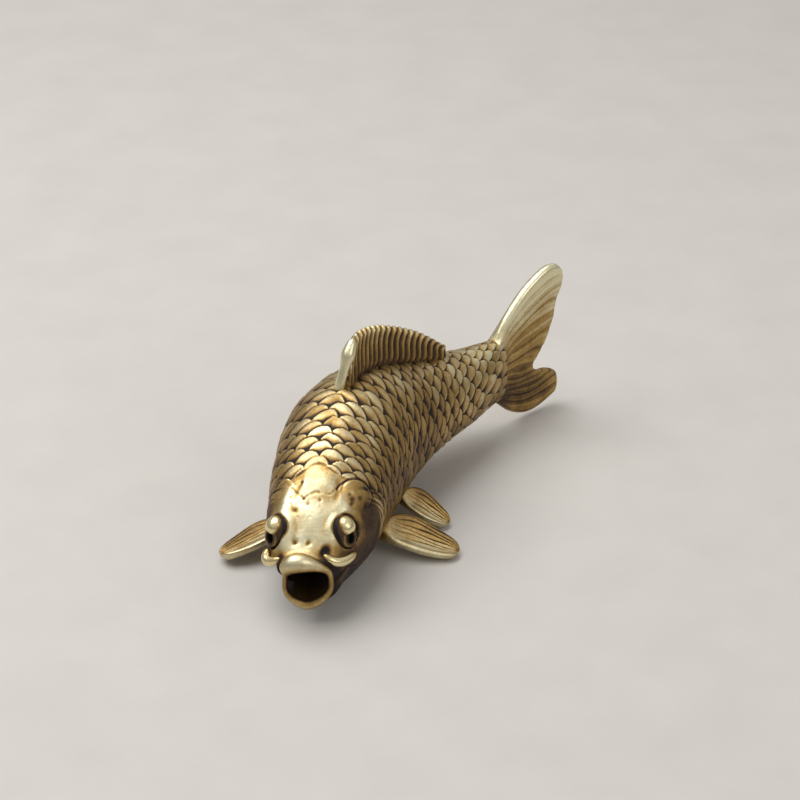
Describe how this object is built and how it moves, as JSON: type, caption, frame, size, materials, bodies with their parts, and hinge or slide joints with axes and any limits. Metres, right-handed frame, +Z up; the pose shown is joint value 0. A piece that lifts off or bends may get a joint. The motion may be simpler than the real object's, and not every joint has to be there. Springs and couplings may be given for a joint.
{
  "type": "fish figurine",
  "caption": "Cast brass carp ornament with scales, open mouth, barbels, spread fins and a tail bent to its left, ground flat under the belly to stand on a table.",
  "frame": {"origin": "on the flat under the belly, where the fish rests on the table", "axes": "+Z up, the head points to -Y, +X is the fish's left, to which the tail bends"},
  "size_m": [0.0426, 0.0501, 0.0243],
  "materials": {
    "antique_brass": "cast, darkened in the recesses and rubbed bright on the high spots",
    "rubbed_brass": "cast and rubbed bright"
  },
  "bodies": {
    "root": {"body_casting": "antique_brass", "dorsal_fin": "antique_brass", "tail_fin": "antique_brass", "anal_fin": "antique_brass", "pectoral_fin_left": "antique_brass", "pectoral_fin_right": "antique_brass", "pelvic_fin_left": "antique_brass", "pelvic_fin_right": "antique_brass", "eye_left": "rubbed_brass", "eye_right": "rubbed_brass", "barbel_left": "rubbed_brass", "barbel_right": "rubbed_brass"}
  },
  "joints": []
}
